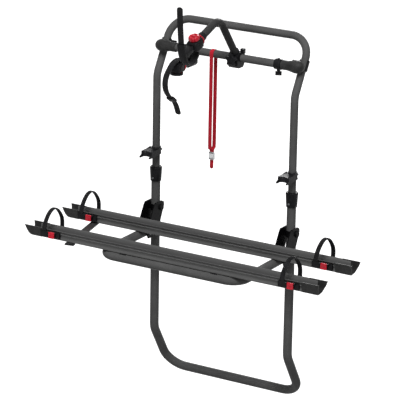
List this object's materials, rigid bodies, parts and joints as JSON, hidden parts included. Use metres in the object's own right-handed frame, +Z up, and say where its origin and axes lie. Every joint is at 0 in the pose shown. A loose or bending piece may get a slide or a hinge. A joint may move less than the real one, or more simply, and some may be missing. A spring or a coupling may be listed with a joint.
{
  "type": "motorhome bike rack",
  "caption": "Rear wall bicycle rack for a motorhome: telescopic tube frame, folding platform with two wheel channels and ladder straps, two clamp arms and a red security strap.",
  "frame": {"origin": "middle of the bottom bar's axis, where the lower wall bracket holds it", "axes": "+X across the vehicle to the right seen from behind it, -Y away from the vehicle towards the viewer, +Z up"},
  "size_m": [1.28, 0.5543, 1.6201],
  "materials": {
    "coated_tube": "satin anthracite powder coat on aluminium",
    "coated_channel": "satin anthracite powder coat on extruded aluminium",
    "black_plastic": "fine grained black polyamide",
    "black_metal": "black powder coat",
    "zinc_steel": "zinc plated",
    "ladder_rubber": "dark grey toothed polyurethane",
    "red_plastic": "semi-gloss red",
    "red_webbing": "woven polyester"
  },
  "bodies": {
    "frame": {"lower_frame": "coated_tube", "collars": "black_plastic", "frame_screws": "zinc_steel", "pivot_rings": "black_metal", "pivot_nuts": "black_metal"},
    "platform": {"cheek_left_outer": "black_metal", "cheek_left_inner": "black_metal", "cheek_right_inner": "black_metal", "cheek_right_outer": "black_metal", "arm_bolts": "zinc_steel", "rail_support": "coated_tube", "rail_front": "coated_channel", "rail_rear": "coated_channel", "end_caps_front": "black_plastic", "end_caps_rear": "black_plastic", "rail_saddles": "black_plastic", "rail_bolts": "zinc_steel", "stabiliser_bar": "coated_channel", "stabiliser_shoes": "black_plastic", "wheel_strap_front_left": "ladder_rubber", "wheel_strap_front_right": "ladder_rubber", "wheel_strap_rear_left": "ladder_rubber", "wheel_strap_rear_right": "ladder_rubber", "strap_bases": "black_plastic"},
    "lever_front_left": {"buckle_lever_front_left": "red_plastic"},
    "lever_front_right": {"buckle_lever_front_right": "red_plastic"},
    "lever_rear_left": {"buckle_lever_rear_left": "red_plastic"},
    "lever_rear_right": {"buckle_lever_rear_right": "red_plastic"},
    "upper": {"upper_frame": "coated_tube", "cross_bar": "coated_tube", "bracket_left": "black_plastic", "bracket_right": "black_plastic", "bracket_saddles": "black_plastic", "bracket_bolts": "zinc_steel", "clamp_band": "black_plastic"},
    "wing": {"wing_knob": "black_plastic"},
    "hold_clip_left": {"clip_left": "black_plastic", "clip_bolt_left": "zinc_steel"},
    "hold_clip_right": {"clip_right": "black_plastic", "clip_bolt_right": "zinc_steel"},
    "long_arm": {"arm_clamp_long": "black_plastic", "arm_tube_long": "coated_tube", "neck_collar_long": "black_plastic", "neck_ring_long": "red_plastic"},
    "long_knob": {"clamp_knob_long": "black_plastic"},
    "long_head": {"head_housing_long": "black_plastic", "ladder_strap_long": "ladder_rubber", "strap_catch_long": "black_plastic"},
    "long_dial": {"tension_dial_long": "red_plastic"},
    "short_arm": {"arm_clamp_short": "black_plastic", "arm_tube_short": "coated_tube", "neck_ring_short": "red_plastic"},
    "short_knob": {"clamp_knob_short": "black_plastic"},
    "short_head": {"head_housing_short": "black_plastic", "ladder_strap_short": "ladder_rubber", "strap_catch_short": "black_plastic"},
    "short_dial": {"tension_dial_short": "red_plastic"},
    "security": {"security_strap": "red_webbing", "cam_buckle": "zinc_steel"},
    "cam": {"cam_lever": "zinc_steel"}
  },
  "joints": [
    {"name": "platform_fold", "type": "hinge", "parent": "frame", "child": "platform", "pos_m": [0, -0.115, 0.688], "axis": [-1, 0, 0], "range_deg": [0, 90]},
    {"name": "height_slide", "type": "slide", "parent": "frame", "child": "upper", "axis": [0, 0, 1], "range_m": [0, 0.2]},
    {"name": "clip_left_slide", "type": "slide", "parent": "frame", "child": "hold_clip_left", "axis": [0, 0, 1], "range_m": [-0.05, 0.085]},
    {"name": "clip_right_slide", "type": "slide", "parent": "frame", "child": "hold_clip_right", "axis": [0, 0, 1], "range_m": [-0.05, 0.085]},
    {"name": "lever_front_left_open", "type": "hinge", "parent": "platform", "child": "lever_front_left", "pos_m": [-0.5085, -0.5283, 0.65238], "axis": [-1, 0, 0], "range_deg": [0, 100]},
    {"name": "lever_front_right_open", "type": "hinge", "parent": "platform", "child": "lever_front_right", "pos_m": [0.5265, -0.5283, 0.65238], "axis": [-1, 0, 0], "range_deg": [0, 100]},
    {"name": "lever_rear_left_open", "type": "hinge", "parent": "platform", "child": "lever_rear_left", "pos_m": [-0.5085, -0.2723, 0.65238], "axis": [-1, 0, 0], "range_deg": [0, 100]},
    {"name": "lever_rear_right_open", "type": "hinge", "parent": "platform", "child": "lever_rear_right", "pos_m": [0.5265, -0.2723, 0.65238], "axis": [-1, 0, 0], "range_deg": [0, 100]},
    {"name": "wing_turn", "type": "hinge", "parent": "upper", "child": "wing", "pos_m": [0.215, -0.08999, 1.3], "axis": [0, 0, 1], "continuous": true},
    {"name": "long_arm_swing", "type": "hinge", "parent": "upper", "child": "long_arm", "pos_m": [0.036, -0.08999, 1.328], "axis": [1, 0, 0], "range_deg": [-50, 30]},
    {"name": "long_knob_turn", "type": "hinge", "parent": "long_arm", "child": "long_knob", "pos_m": [0.036, -0.12999, 1.328], "axis": [0, -1, 0], "continuous": true},
    {"name": "long_head_swivel", "type": "hinge", "parent": "long_arm", "child": "long_head", "pos_m": [0.036, -0.37499, 1.453], "axis": [0, -0.94, -0.3412], "range_deg": [-90, 90]},
    {"name": "long_dial_turn", "type": "hinge", "parent": "long_head", "child": "long_dial", "pos_m": [0.036, -0.40789, 1.46765], "axis": [0, -0.3412, 0.94], "continuous": true},
    {"name": "short_arm_swing", "type": "hinge", "parent": "upper", "child": "short_arm", "pos_m": [-0.162, -0.08999, 1.328], "axis": [1, 0, 0], "range_deg": [-50, 0]},
    {"name": "short_knob_turn", "type": "hinge", "parent": "short_arm", "child": "short_knob", "pos_m": [-0.162, -0.12999, 1.328], "axis": [0, -1, 0], "continuous": true},
    {"name": "short_head_swivel", "type": "hinge", "parent": "short_arm", "child": "short_head", "pos_m": [-0.162, -0.17199, 1.283], "axis": [0, 1, 0], "range_deg": [-20, 120]},
    {"name": "short_dial_turn", "type": "hinge", "parent": "short_head", "child": "short_dial", "pos_m": [-0.162, -0.19791, 1.258], "axis": [0, 0, -1], "continuous": true},
    {"name": "strap_slide", "type": "slide", "parent": "upper", "child": "security", "axis": [1, 0, 0], "range_m": [-0.04, 0.03]},
    {"name": "cam_lever_open", "type": "hinge", "parent": "security", "child": "cam", "pos_m": [-0.066, -0.09335, 0.9339], "axis": [-1, 0, 0], "range_deg": [0, 90]}
  ]
}
